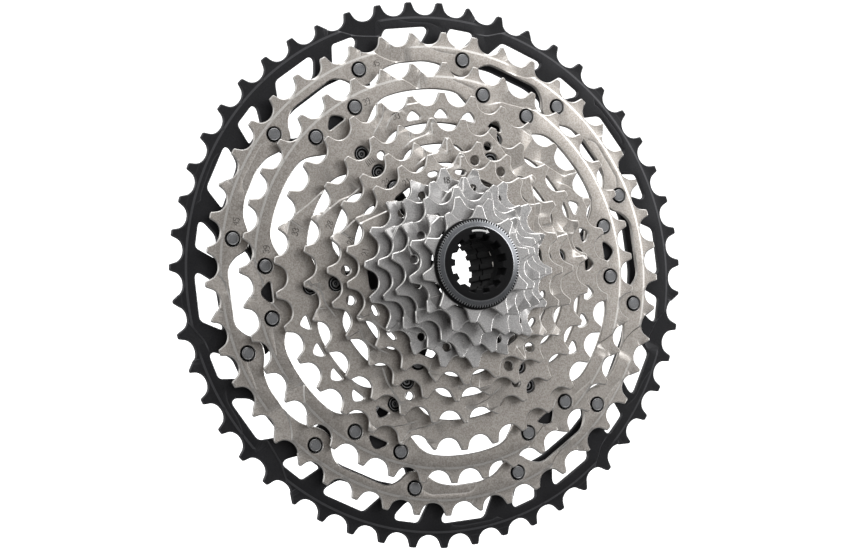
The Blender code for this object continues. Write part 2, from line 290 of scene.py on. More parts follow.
def plateMesh(name, loops, back, front, relief=None, lines=(), chamfer=0.42, step=0.75):
    # A plate: a chamfered wall carried along every outline, and a face filled in between on
    # each side. relief gives how far the outboard face lies below "front" at any point; the
    # faces' edge values, a brightening that is partly wear and partly painted highlight, are 1 on the front
    # chamfer, less behind it, and follow slopes in front.
    clear, wearAndSheen = 0.3, (1.0, 0.25, 0.8)
    loops = [spaced(wound(np.asarray(loop, float), index == 0), step)
             for index, loop in enumerate(loops)]
    depth = relief or (lambda p: np.zeros(len(p)))
    inner = [untangled(untangled(inset(loop, chamfer))) for loop in loops]
    count = sum(map(len, loops))
    outline, narrow = np.vstack(loops), np.vstack(inner)
    low = np.maximum(front - depth(narrow), back + 2.2 * chamfer)
    rows = [np.column_stack((narrow, low)),
            np.column_stack((outline, np.minimum(low, front - depth(outline)) - chamfer)),
            np.column_stack((outline, np.full(count, back + chamfer))),
            np.column_stack((narrow, np.full(count, back)))]
    rows[1][:, 2] = np.maximum(rows[1][:, 2], back + chamfer + 0.05)
    walls, wornAndHighlit, base = [], [], 0
    for loop in loops:
        for row in range(3):
            walls.append(strip(row * count + base, (row + 1) * count + base, len(loop)))
            wornAndHighlit.append(np.full(len(loop), wearAndSheen[row]))
        base += len(loop)
    freshFront, frontFaces = filled(inner, lines, clear)
    freshBack, backFaces = filled(inner, (), clear)
    frontPoints = np.column_stack((freshFront, front - depth(freshFront)))
    firstFront, firstBack = 4 * count, 4 * count + len(freshFront)
    frontFaces = np.where(frontFaces >= count, frontFaces - count + firstFront, frontFaces)
    backFaces = np.where(backFaces >= count, backFaces - count + firstBack, backFaces + 3 * count)
    backPoints = np.column_stack((freshBack, np.full(len(freshBack), back)))
    points = np.vstack(rows + [frontPoints, backPoints])
    corner = points[frontFaces]
    normal = np.cross(corner[:, 1] - corner[:, 0], corner[:, 2] - corner[:, 0])
    tilt = 1.0 - np.abs(normal[:, 2]) / np.maximum(np.linalg.norm(normal, axis=1), 1e-9)
    # Sloped faces of the front's relief get a brighter edge value: a painted highlight along the ramps,
    # ridge and grooves.
    wornAndHighlit.append(np.clip(tilt * 12.0, 0.0, 1.0))
    wornAndHighlit.append(np.zeros(len(backFaces)))
    frontFaces = facing(frontFaces, points, True)
    backFaces = facing(backFaces, points, False)
    faces = np.vstack(walls).tolist() + frontFaces.tolist() + backFaces.tolist()
    return meshFrom(name, points, faces, np.concatenate(wornAndHighlit), sealedToo=True)


def facing(faces, points, outboard):
    # Triangles whose corners run counter-clockwise seen from outboard, or the other way.
    a, b, c = (points[faces[:, k], :2] for k in range(3))
    area = (b[:, 0] - a[:, 0]) * (c[:, 1] - a[:, 1]) - (b[:, 1] - a[:, 1]) * (c[:, 0] - a[:, 0])
    wrong = (area > 0) != outboard
    faces[wrong] = faces[wrong][:, ::-1]
    return faces


def revolved(name, radii, heights, center=(0.0, 0.0), turns=48, closed=False, edge=None):
    # A surface of two parameters: the turn about the axis and the place along the profile.
    # radii and heights are one value a profile row, or a row by turn table. The profile runs
    # from the outboard side to the inboard one; its open ends are capped flat.
    turn = np.arange(turns) * 2.0 * math.pi / turns
    radii = np.broadcast_to(np.asarray(radii, float).reshape(len(radii), -1), (len(radii), turns))
    heights = np.broadcast_to(np.asarray(heights, float).reshape(len(heights), -1), radii.shape)
    points = np.stack((center[0] + radii * np.cos(turn), center[1] + radii * np.sin(turn), heights),
                      axis=2).reshape(-1, 3)
    rows = len(radii)
    bands = rows if closed else rows - 1
    faces = np.vstack([strip(row * turns, (row + 1) % rows * turns, turns)
                       for row in range(bands)]).tolist()
    wornAndHighlit = np.repeat(np.zeros(bands) if edge is None else np.asarray(edge, float)[:bands], turns)
    if not closed:
        last = (rows - 1) * turns
        faces += [list(range(turns)), list(range(last + turns - 1, last - 1, -1))]
        wornAndHighlit = np.concatenate((wornAndHighlit, (0.0, 0.0)))
    return meshFrom(name, points, faces, wornAndHighlit)


class Signal:
    # A shader socket that can be added, subtracted and multiplied.
    def __init__(self, tree, socket):
        self.tree, self.socket = tree, socket

    def math(self, operation, first, second):
        return addNode(self.tree, "ShaderNodeMath", {"operation": operation}, {0: first, 1: second})

    def __add__(self, other):
        return self.math("ADD", self, other)

    __radd__ = __add__

    def __mul__(self, other):
        return self.math("MULTIPLY", self, other)

    __rmul__ = __mul__

    def __sub__(self, other):
        return self.math("SUBTRACT", self, other)

    def __rsub__(self, other):
        return self.math("SUBTRACT", other, self)


def addNode(tree, kind, settings, values, output=0):
    node = tree.nodes.new(kind)
    for name, value in settings.items():
        setattr(node, name, value)
    for key, value in values.items():
        if isinstance(value, Signal):
            tree.links.new(value.socket, node.inputs[key])
        else:
            node.inputs[key].default_value = value
    return Signal(tree, node.outputs[output])


def noise(tree, where, size, detail=3.0, roughness=0.55):
    # Even noise whose grains are about size millimetres across.
    return addNode(tree, "ShaderNodeTexNoise", {}, {
        "Vector": where, "Scale": 1.0 / (size * mm), "Detail": detail, "Roughness": roughness})


def band(tree, value, low, high):
    return addNode(tree, "ShaderNodeMapRange", {"interpolation_type": "SMOOTHSTEP"}, {
        "Value": value, "From Min": low, "From Max": high, "To Min": 0.0, "To Max": 1.0})


def blend(tree, share, first, second):
    return addNode(tree, "ShaderNodeMix", {"data_type": "RGBA"},
                   {0: share, 6: (*first, 1.0) if isinstance(first, tuple) else first,
                    7: (*second, 1.0) if isinstance(second, tuple) else second}, output=2)


# Painted shade near the axis darkens the bores: metres from the axis where the painted shade starts to fade
# and where it ends
boreFade = (0.0166, 0.0172)
boreShadeColor = (0.003, 0.003, 0.0033)


def finish(name, look):
    # Blasted, plated or anodised metal: cloudy tone, fine grain, brighter edges that are partly wear and
    # partly painted highlight, and painted shade near the axis.
    made = bpy.data.materials.new(name)
    made.use_nodes = True
    tree = made.node_tree
    shader = tree.nodes["Principled BSDF"]
    where = addNode(tree, "ShaderNodeTexCoord", {}, {}, output=3)
    edge = addNode(tree, "ShaderNodeAttribute", {"attribute_name": "edge"}, {}, output=2)
    cloud = band(tree, noise(tree, where, look["cloud"]), 0.3, 0.7)
    grain = noise(tree, where, look["grain"], 2.0, 0.7)
    away = addNode(tree, "ShaderNodeVectorMath", {"operation": "MULTIPLY"},
                   {0: where, 1: (1.0, 0.0, 1.0)})
    away = addNode(tree, "ShaderNodeVectorMath", {"operation": "LENGTH"}, {0: away}, output=1)
    # Painted shade: where the finish asks for it, faces near the axis turn dark, dull and less metallic,
    # standing in for the shade inside the bores.
    paintedBoreShade = (1.0 - band(tree, away, *boreFade)) * look["boreShade"]
    # Edge faces are painted brighter and smoother: partly wear, partly painted highlight.
    wearAndSheen = edge * (0.72 + 0.4 * noise(tree, where, 1.6))
    tone = blend(tree, cloud * look["cloudShare"], look["color"], look["shade"])
    speck = blend(tree, band(tree, grain, 0.42, 0.66) * look["speck"], tone, look["edgeColor"])
    pits = blend(tree, band(tree, grain, 0.5, 0.3) * look["pit"], speck, (0.0, 0.0, 0.0))
    wornAndHighlit = blend(tree, wearAndSheen * look["edgeShare"], pits, look["edgeColor"])
    color = blend(tree, paintedBoreShade, wornAndHighlit, boreShadeColor)
    rough = look["rough"] + (grain - 0.5) * 0.16 - wearAndSheen * look["edgeSmooth"] + paintedBoreShade * 0.5
    metallic = look["metal"] - paintedBoreShade * look["metal"]
    bump = addNode(tree, "ShaderNodeBump", {}, {
        "Height": grain, "Strength": look["bump"], "Distance": look["bumpDepth"] * mm})
    for key, value in (("Base Color", color), ("Roughness", rough), ("Metallic", metallic),
                       ("Normal", bump)):
        tree.links.new(value.socket, shader.inputs[key])
    shader.inputs["Specular IOR Level"].default_value = look["specular"]
    return made


blastedNickel = {"color": (0.355, 0.326, 0.298), "shade": (0.315, 0.288, 0.262), "cloud": 14.0,
                 "cloudShare": 0.7, "grain": 0.5, "speck": 0.2, "pit": 0.17,
                 "edgeColor": (0.86, 0.85, 0.83), "edgeShare": 0.6, "rough": 0.47,
                 "edgeSmooth": 0.14, "bump": 1.0, "bumpDepth": 0.05, "metal": 1.0,
                 "specular": 0.5, "boreShade": 0.0}
# One key of these looks sets how strongly painted shade darkens the faces near the axis.
looks = {
    "nickel": {},
    "steel": {"color": (0.42, 0.412, 0.41), "shade": (0.36, 0.352, 0.35), "rough": 0.38,
              "boreShade": 0.98, "edgeShare": 0.75, "specular": 0.12},
    "black": {"color": (0.016, 0.016, 0.018), "shade": (0.011, 0.011, 0.0125), "speck": 0.02,
              "edgeColor": (0.16, 0.16, 0.17), "edgeShare": 0.42, "rough": 0.46,
              "edgeSmooth": 0.1, "metal": 0.3, "specular": 0.22, "boreShade": 0.8},
    "rivet": {"color": (0.19, 0.193, 0.2), "shade": (0.155, 0.157, 0.163), "speck": 0.12,
              "cloud": 4.0, "edgeColor": (0.5, 0.5, 0.5), "edgeShare": 0.3, "rough": 0.42,
              "metal": 0.9},
    # Near-black painted shade for rivet cups, the gaps round rivet heads and the knurl valleys
    "recessShade": {"color": (0.006, 0.006, 0.006), "shade": (0.005, 0.005, 0.005), "speck": 0.0,
             "edgeColor": (0.02, 0.02, 0.02), "rough": 0.8, "metal": 0.0, "specular": 0.1},
    "spacer": {"color": (0.42, 0.42, 0.43), "shade": (0.36, 0.36, 0.37), "rough": 0.42,
               "boreShade": 0.98, "specular": 0.12},
    "turned": {"color": (0.4, 0.4, 0.41), "shade": (0.34, 0.34, 0.35), "rough": 0.42},
    "ring": {"color": (0.13, 0.135, 0.145), "shade": (0.10, 0.105, 0.115), "speck": 0.04,
             "pit": 0.1, "edgeShare": 0.5, "edgeColor": (0.62, 0.63, 0.65), "rough": 0.34,
             "bump": 0.3},
    "stamp": {"color": (0.12, 0.112, 0.105), "shade": (0.1, 0.093, 0.088), "speck": 0.1},
    "paint": {"color": (0.75, 0.75, 0.75), "shade": (0.7, 0.7, 0.7), "metal": 0.0, "bump": 0.2},
}
finishes = {name: finish(name, {**blastedNickel, **look}) for name, look in looks.items()}
report("finishes")


tooth = {"seatDepth": 3.95, "seatWidth": 4.65, "tipRound": 0.5, "steps": 6}
# Tooth corners as (sideways, outward) millimetres from the pitch circle, by increasing angle:
# plain, leaning, tall and short pointed, split, and thinned teeth
toothShapes = {
    ".": ((-1.15, 1.0), (1.15, 1.0)),
    "l": ((-2.7, -2.3), (0.35, 0.75), (1.3, 0.65)),
    "t": ((-2.4, -2.1), (-0.55, 0.45), (0.55, 0.45), (2.4, -2.1)),
    "s": ((-2.0, -1.5), (-1.05, 0.4), (1.05, 0.4), (2.0, -1.5)),
    "n": ((-0.9, 1.0), (1.05, 1.0)),
    "f": ((-1.15, 1.0), (1.15, 1.0)),
}


def pitchRadius(teeth):
    return chainPitch / (2.0 * math.sin(math.pi / teeth))


def flank(corner, side, pitch, half, seatWidth):
    # The roller seat beside a tooth, from its lowest point to where a line from the tooth's
    # corner touches it. Sideways lengths are squeezed so that the seat is a circle meanwhile.
    seat = tooth["seatDepth"]
    squeeze = np.array((seat / seatWidth, 1.0))
    center = np.array((side * pitch * math.sin(half), pitch * (math.cos(half) - 1.0))) * squeeze
    reach = np.asarray(corner) * squeeze - center
    across = max(np.linalg.norm(reach), seat * 1.001)
    toCorner = math.atan2(reach[1], reach[0]) % (2.0 * math.pi)
    if side < 0 and toCorner > math.pi:
        toCorner -= 2.0 * math.pi
    touch = toCorner + side * math.acos(seat / across)
    lowest = 1.5 * math.pi - half if side > 0 else -0.5 * math.pi + half
    turn = np.linspace(lowest, touch, 8)
    arc = center + seat * np.stack((np.cos(turn), np.sin(turn)), axis=1)
    return arc / squeeze


def toothOutline(teeth, first, styles):
    # Every tooth's outline, from the low point of one seat to that of the next.
    pitch, half = pitchRadius(teeth), math.pi / teeth
    seatWidth = min(tooth["seatWidth"], 4.05 + 0.012 * teeth)
    shapes = {}
    for style in set(styles):
        corners = np.array(toothShapes[style])
        start = flank(corners[0], -1, pitch, half, seatWidth)
        end = flank(corners[-1], 1, pitch, half, seatWidth)[::-1]
        top = np.vstack((start[-1:], corners, end[:1]))
        tip = rounded(top, tooth["tipRound"], tooth["steps"])[tooth["steps"]:-tooth["steps"]]
        shapes[style] = np.vstack((start, tip, end[:-1])) + (0.0, pitch)
    placed = []
    for index in range(teeth):
        turn = math.radians(first + 360.0 * index / teeth)
        outward = np.array((math.cos(turn), math.sin(turn)))
        sideways = np.array((-outward[1], outward[0]))
        shape = shapes[styles[index % len(styles)]]
        placed.append(shape[:, :1] * sideways + shape[:, 1:] * outward)
    return np.vstack(placed)


def ridgeRelief(radius, drop, bevel):
    # The toothed band lies lower than the web inside this radius.
    turn = np.linspace(0.0, 360.0, int(radius * 6.2))
    lines = [polar(turn, np.full(len(turn), radius + side * bevel / 2.0)) for side in (-1, 1)]
    return lines, lambda p: drop * np.clip((np.hypot(*p.T) - radius) / bevel + 0.5, 0.0, 1.0)


def rampRelief(points, toward, drop, reach, fade):
    # A shift ramp: a steep step along the line, and a floor that rises again over "reach" on
    # its outer side. toward is 1 where that side has the larger angle and -1 where the smaller.
    bevel = 0.5
    line = smoothLine(points)
    middle = line[len(line) // 2]
    outward = middle / np.linalg.norm(middle)
    aim = outward + toward * np.array((-outward[1], outward[0]))
    way = line[-1] - line[0]
    reverse = way[0] * aim[1] - way[1] * aim[0] < 0.0
    line = line[::-1] if reverse else line

    def depth(p):
        left, off, share = measured(p, line)
        share = 1.0 - share if reverse else share
        floor = np.clip(1.0 - off / reach, 0.0, 1.0)
        step = np.clip(1.0 + left / bevel, 0.0, 1.0) * (off < 6.0)
        return drop * np.clip((1.0 - share) / fade, 0.0, 1.0) * np.where(left >= 0.0, floor, step)

    return [line, beside(line, -bevel)], depth


def grooveRelief(points, drop=0.05, half=0.2):
    # A thin line pressed into the face.
    line = smoothLine(points)
    lines = [beside(line, -half), line, beside(line, half)]
    return lines, lambda p: drop * np.clip(1.0 - measured(p, line)[1] / half, 0.0, 1.0)


def toothRelief(teeth, first, styles):
    # Thinned tips, slanted facets and split faces, by the tooth's style: u is millimetres
    # sideways from the middle of the tooth, and v is outwards from the pitch circle.
    pitch = pitchRadius(teeth)
    codes = np.array([styles[index % len(styles)] for index in range(teeth)])
    lines = []
    for index, code in enumerate(codes):
        turn = math.radians(first + 360.0 * index / teeth)
        outward = np.array((math.cos(turn), math.sin(turn)))
        sideways = np.array((-outward[1], outward[0]))
        if code in "fst":
            across = np.linspace(-3.6, 3.6, 15)[:, None] * sideways
            lines += [across + outward * (pitch + level) for level in (-2.95, -2.5)]
        if code == "n":
            up = np.linspace(-5.5, 0.9, 14)[:, None] * outward
            lines += [up + outward * pitch + sideways * shift for shift in (0.2, 0.6)]

    def depth(p):
        turn = np.degrees(np.arctan2(p[:, 1], p[:, 0])) - first
        index = np.rint(turn * teeth / 360.0)
        off = np.radians(turn - index * 360.0 / teeth)
        radius = np.hypot(*p.T)
        u, v = radius * np.sin(off), radius * np.cos(off) - pitch
        code = codes[index.astype(int) % teeth]
        thin = 0.4 * np.clip((v + 2.95) / 0.45, 0.0, 1.0)
        lean = np.clip(0.1 - 0.36 * u + 0.1 * v, 0.0, 0.6) * np.clip((v + 3.4) / 0.6, 0.0, 1.0)
        split = 0.4 * np.clip((u - 0.2) / 0.4, 0.0, 1.0) * np.clip((v + 5.5) / 1.5, 0.0, 1.0)
        found = [np.isin(code, ("f", "s", "t")), code == "l", code == "n"]
        return np.select(found, [thin, lean, split], 0.0)

    return lines, depth


def sprocketRelief(teeth, first, styles, ridge, ramps, grooves, reach):
    parts = [toothRelief(teeth, first, styles)]
    if ridge:
        parts.append(ridgeRelief(ridge, 0.32, 0.85))
    parts += [rampRelief(line, toward, 0.55, reach, fade) for line, toward, fade in ramps]
    parts += [grooveRelief(line) for line in grooves]
    lines = [line for found, _ in parts for line in found]
    return lines, lambda p: np.max([depth(p) for _, depth in parts], axis=0)


def shifted(line, turn):
    return [(angle + turn, radius) for angle, radius in line]


def thirds(lines):
    # A third of the ring's ramps, repeated twice more.
    return [(shifted(line, 120.0 * turn), *rest) for turn in range(3) for line, *rest in lines]


def windows(turns, corners, radius):
    return [rounded(polar(*(np.array(corners) + (turn, 0.0)).T), radius) for turn in turns]


def rivetPlaces(radius, spread, arms=range(6)):
    spots = (-spread, spread) if spread else (0.0,)
    return [polar(firstArm + armTurn * arm + spot, radius) for arm in arms for spot in spots]


def rivetHoles(row, hole):
    return [circle(hole, 28, place) for place in rivetPlaces(*row)]


def lobedEdge(opening, lobe, openingHalf, lobeHalf, soft):
    # The inner edge: a lobe on each arm, and a round-topped opening between two arms.
    top = opening + 0.5
    return rounded(around(6, firstArm, (
        (-30.0, top), (-30.0 + openingHalf / 2.0, top), (-30.0 + openingHalf, opening),
        (-lobeHalf, lobe), (0.0, lobe), (lobeHalf, lobe),
        (30.0 - openingHalf, opening), (30.0 - openingHalf / 2.0, top))), soft)


spline = {"grooves": 23, "minor": 15.3, "major": 16.35, "floorHalf": 3.9, "mouthHalf": 4.4}


def splineEdge():
    # A bore with square-shouldered grooves.
    minor, major = spline["minor"], spline["major"]
    floor, mouth = spline["floorHalf"], spline["mouthHalf"]
    groove = ((-mouth, minor), (-floor, major), (floor, major), (mouth, minor))
    return rounded(around(spline["grooves"], 0.0, groove), 0.25, 3)


# Rivet rows: the circle's radius, the angle either side of an arm, and the arms if not all
outerRivets = (82.16, 15.0)
pairRivets = (70.05, 8.0)
rimRivets = (54.2, 0.0)
midRivets = (45.3, 0.0)
innerRivets = (37.6, 0.0, (0, 2, 4))
posts = (37.6, 0.0, (1, 3, 5))
headGap = 2.8
# A rivet head that sits in a cup below the face: the cup's mouth and the head's drop
cup = {"mouth": 2.85, "drop": 0.6}
# A ramp is its line as (angle, radius) points, the side that it slopes to and its fade's share

ring51 = {"first": 4.1, "styles": ".....fs..tnl....l", "ridge": 98.1, "reach": 15.0,
          "ramps": thirds([
              ([(114.2, 100.2), (113.2, 98.6), (110.0, 95.1), (107.7, 93.9), (103.6, 92.4)], -1, 0.12),
              ([(71.8, 100.0), (72.9, 98.8), (74.6, 97.3), (76.9, 95.2), (80.4, 94.6)], 1, 0.5)]),
          "grooves": [[(98.5, 97.4), (96.2, 96.2), (91.4, 96.0), (90.0, 95.2)],
                      [(45.4, 95.8), (44.2, 96.4), (36.0, 96.4), (34.4, 95.8)]]}
ring45 = {"first": 0.6, "styles": "...ffl.snl..lll", "ridge": 86.1, "reach": 15.0,
          "ramps": thirds([
              ([(109.0, 88.4), (107.8, 87.1), (106.2, 84.6), (103.5, 82.0), (98.2, 80.5)], -1, 0.12),
              ([(61.4, 88.2), (62.3, 87.1), (64.6, 84.7), (67.5, 83.9), (71.2, 83.5)], 1, 0.5)]),
          "grooves": [[(92.0, 85.2), (89.5, 84.2), (85.2, 83.8)],
                      [(40.0, 82.9), (38.5, 84.1), (27.7, 84.1), (26.2, 82.9)]]}
ring39 = {"first": 6.1, "styles": "..f..snl..ll.", "ridge": 74.2, "reach": 13.0,
          "ramps": thirds([
              ([(104.4, 76.4), (103.0, 74.8), (100.4, 72.4), (97.4, 69.4)], -1, 0.12),
              ([(57.6, 75.6), (59.4, 73.9), (64.6, 71.7), (70.0, 70.3), (75.4, 66.2)], 1, 0.35)]),
          "grooves": [[(86.5, 73.2), (84.0, 72.4), (80.5, 71.4)]]}
for ring in (ring51, ring45, ring39):
    ring["grooves"] = [shifted(line, 120.0 * turn) for line in ring["grooves"] for turn in range(3)]
plainRing = {"ridge": 0, "reach": 4.0, "ramps": [], "grooves": []}
ring33 = {**plainRing, "first": 4.0, "styles": "..sn.l...sn....l.......nl........", "reach": 11.0,
          "ramps": [([(112.2, 66.5), (114.0, 62.6), (117.0, 60.4), (121.5, 57.6)], 1, 0.5),
                    ([(103.8, 64.4), (106.5, 62.9), (111.5, 61.2), (115.6, 57.4)], 1, 0.4),
                    ([(36.6, 66.5), (38.0, 62.0), (42.0, 60.2), (47.0, 58.8), (51.6, 56.0)], 1, 0.4),
                    ([(28.2, 64.4), (31.2, 62.9), (34.6, 61.2), (38.9, 57.6)], 1, 0.4),
                    ([(255.2, 66.5), (256.6, 62.0), (260.0, 60.4), (265.0, 58.4), (270.5, 55.6)], 1, 0.5),
                    ([(247.4, 64.4), (250.6, 62.6), (254.6, 60.4), (259.5, 57.6)], 1, 0.5),
                    ([(164.2, 64.4), (162.3, 62.7), (156.0, 58.8), (150.0, 56.6), (144.6, 53.2)], -1, 0.15)]}
ring28 = {**plainRing, "first": 7.0, "styles": "nl.....nl...l.nl.....nl.....", "reach": 9.0,
          "ramps": [([(98.0, 54.6), (99.6, 51.9), (107.0, 50.9), (113.5, 48.6)], 1, 0.5),
                    ([(8.6, 54.6), (10.6, 51.7), (16.6, 51.2), (25.2, 48.4)], 1, 0.5),
                    ([(188.2, 54.6), (190.2, 51.8), (196.0, 51.2), (204.6, 48.6)], 1, 0.5),
                    ([(279.4, 54.6), (281.8, 52.0), (288.0, 51.0), (297.4, 48.0)], 1, 0.5),
                    ([(69.6, 53.8), (67.0, 52.6), (61.2, 50.3), (53.6, 45.6)], -1, 0.2),
                    ([(159.4, 53.8), (157.0, 52.8), (150.0, 50.0), (146.0, 47.4), (139.0, 46.4)], -1, 0.2),
                    ([(248.6, 53.8), (246.0, 52.4), (240.0, 49.6), (233.6, 45.6)], -1, 0.2)]}
ring24 = {**plainRing, "first": 2.3, "styles": ".n....nl...l..nl..nl....", "reach": 8.0,
          "ramps": [([(95.4, 46.4), (97.4, 44.5), (104.0, 43.6), (113.4, 40.8)], 1, 0.5),
                    ([(215.4, 46.4), (217.6, 44.4), (224.0, 43.5), (233.0, 41.0)], 1, 0.5),
                    ([(335.4, 46.4), (337.6, 44.4), (344.0, 43.5), (353.0, 41.0)], 1, 0.5),
                    ([(165.0, 46.4), (162.6, 45.0), (157.0, 43.0), (150.5, 40.2), (143.0, 39.8)], -1, 0.2),
                    ([(45.6, 46.4), (43.0, 45.0), (37.5, 43.0), (31.0, 40.4)], -1, 0.2)]}
ring21 = {**plainRing, "first": 1.2, "styles": "..l..n...l..n..l..n..", "reach": 7.0,
          "ramps": thirds([([(90.0, 40.2), (92.5, 38.4), (99.0, 37.2), (106.0, 34.6)], 1, 0.4)]) + [
                    ([(156.0, 40.2), (152.0, 38.0), (146.0, 35.4), (140.0, 33.6)], -1, 0.3),
                    ([(36.0, 40.2), (32.0, 38.0), (26.0, 35.4), (20.0, 33.6)], -1, 0.3)]}
ring18 = {**plainRing, "first": 0.1, "styles": ".l....ll...nl..l..", "reach": 6.0,
          "ramps": [([(84.0, 34.2), (88.0, 32.0), (95.0, 30.4), (103.0, 27.6)], 1, 0.4),
                    ([(224.0, 34.2), (228.0, 32.0), (235.0, 30.4), (243.0, 27.6)], 1, 0.4),
                    ([(340.0, 34.2), (335.0, 31.4), (329.0, 28.6)], -1, 0.3)]}
ring16 = {**plainRing, "first": 21.7, "styles": ".l.n..l.", "reach": 5.0,
          "ramps": [([(99.0, 30.2), (104.0, 28.0), (112.0, 25.0)], 1, 0.4),
                    ([(279.0, 30.2), (284.0, 28.0), (292.0, 25.0)], 1, 0.4)]}
ring14 = {**plainRing, "first": 20.7, "styles": ".l...l.", "reach": 4.0,
          "ramps": [([(160.0, 26.0), (166.0, 23.8), (175.0, 21.4)], 1, 0.4),
                    ([(340.0, 26.0), (346.0, 23.8), (355.0, 21.4)], 1, 0.4)]}
ring12 = {**plainRing, "first": 14.0, "styles": ".l."}
ring10 = {**plainRing, "first": 14.6, "styles": "."}


def holes51():
    # Slanted windows in the toothed ring: a narrow one outside each rivet, a wide one between.
    edge = rounded(around(12, firstArm + 15.0, (
        (-9.5, 82.0), (-4.0, 81.6), (-2.6, 79.0), (2.6, 79.0), (4.0, 81.6), (9.5, 82.0))), 1.6)
    rivets = firstArm + 15.0 + 30.0 * np.arange(12)
    narrow = ((2.9, 94.8), (-2.8, 94.8), (-3.2, 92.8), (-1.0, 88.0), (0.4, 86.8), (5.2, 86.8))
    wide = ((5.3, 94.8), (-5.0, 94.8), (-5.6, 93.0), (-3.6, 88.0), (-2.2, 86.8), (8.8, 86.8))
    cut = windows(rivets, narrow, 1.5) + windows(rivets - 16.0, wide, 1.8)
    return [edge] + cut + rivetHoles(outerRivets, 2.1)


def holes45():
    edge = rounded(around(6, firstArm, (
        (-17.7, 76.4), (-15.0, 75.4), (-12.2, 76.4), (-10.3, 80.6), (-7.2, 83.4),
        (7.2, 83.4), (10.3, 80.6), (12.2, 76.4), (15.0, 75.4), (17.7, 76.4),
        (21.5, 79.6), (26.0, 80.7), (34.0, 80.7), (38.5, 79.6))), 2.4)
    return [edge] + rivetHoles(outerRivets, headGap)


def holes39():
    between = ((-3.3, 68.2), (3.3, 68.2), (2.9, 69.6), (0.7, 72.0), (-0.7, 72.0), (-2.9, 69.6))
    arms = firstArm + armTurn * np.array((0, 2, 3, 4, 5))
    return ([lobedEdge(69.0, 61.0, 14.0, 7.5, 4.5)] + windows(arms, between, 1.2)
            + rivetHoles(pairRivets, headGap))


def holes33():
    triangle = ((-2.7, 58.0), (2.7, 58.0), (2.4, 59.4), (0.6, 61.3), (-0.6, 61.3), (-2.4, 59.4))
    under = np.array((0, 1, 2, 6, 7, 8, 9, 18, 19, 20, 21, 22, 30, 31, 32))
    return ([lobedEdge(55.6, 51.0, 15.0, 8.0, 4.0)]
            + windows(ring33["first"] + 0.5 + under * 360.0 / 33, triangle, 0.9)
            + rivetHoles(rimRivets, cup["mouth"]))


def holes28():
    small = [circle(1.6, 20, polar(angle, 50.0)) for angle in (71.5, 123.0, 251.5, 303.0)]
    return [lobedEdge(47.2, 41.2, 13.0, 9.0, 3.5)] + small + rivetHoles(midRivets, cup["mouth"])


def holes24():
    small = [circle(1.75, 20, polar(firstArm + 60.0 + 120.0 * third + side, 42.3))
             for third in range(3) for side in (-5.8, 9.4)]
    return [lobedEdge(39.6, 34.4, 13.0, 9.0, 3.0)] + small + rivetHoles(innerRivets, headGap)


def holes21():
    opening = ((-7.0, 35.2), (-10.0, 28.0), (-7.0, 24.5), (7.0, 24.5), (10.0, 28.0), (7.0, 35.2))
    oval = ((-3.7, 36.2), (-2.4, 35.3), (2.4, 35.3), (3.7, 36.2), (2.4, 37.1), (-2.4, 37.1))
    pairs = [96.0 + 120.0 * third + side for third in range(3) for side in (-8.8, 8.8)]
    arms = firstArm + armTurn * np.arange(6)
    return [splineEdge()] + windows(arms, opening, 2.0) + windows(pairs, oval, 0.9)


def holes18():
    return [splineEdge()] + [circle(1.5, 20, polar(angle, 30.1))
                             for angle in (60, 80, 120, 140, 240, 260, 300, 320)]


def holes14():
    under = ring14["first"] + np.arange(4, 10) * 360.0 / 14
    return [splineEdge()] + [circle(1.5, 20, polar(angle, 20.9)) for angle in under]


# Each ring's shape, the function for its holes, its finish, its body and its material slot
rings = {
    51: (ring51, holes51, "black", "large_unit", "black_anodised"),
    45: (ring45, holes45, "nickel", "large_unit", "satin_nickel"),
    39: (ring39, holes39, "nickel", "large_unit", "satin_nickel"),
    33: (ring33, holes33, "nickel", "small_unit", "satin_nickel"),
    28: (ring28, holes28, "nickel", "small_unit", "satin_nickel"),
    24: (ring24, holes24, "nickel", "small_unit", "satin_nickel"),
    21: (ring21, holes21, "nickel", "ring_21t", "satin_nickel"),
    18: (ring18, holes18, "steel", "ring_18t", "satin_nickel"),
    16: (ring16, lambda: [splineEdge()], "steel", "ring_16t", "satin_nickel"),
    14: (ring14, holes14, "steel", "ring_14t", "satin_nickel"),
    12: (ring12, lambda: [splineEdge()], "steel", "ring_12t", "satin_nickel"),
    10: (ring10, lambda: [circle(13.7, 60)], "steel", "ring_10t", "satin_nickel"),
}


def makeRing(teeth):
    ring, holes, look, body, slot = rings[teeth]
    node = f"sprocket_{teeth}t"
    back, front = heightsOf(node)
    outline = toothOutline(teeth, ring["first"], ring["styles"])
    lines, relief = sprocketRelief(teeth, ring["first"], ring["styles"], ring["ridge"],
                                   ring["ramps"], ring["grooves"], ring["reach"])
    chamfer = 0.3 if look == "steel" else 0.38
    mesh = plateMesh(f"ring{teeth}", [outline] + holes(), back, front, relief, lines, chamfer)
    report(f"ring of {teeth} teeth: {len(mesh.polygons)} faces")
    return place(f"ring{teeth}", mesh, [finishes[look]], body, slot, node)


for teeth in rings:
    makeRing(teeth)


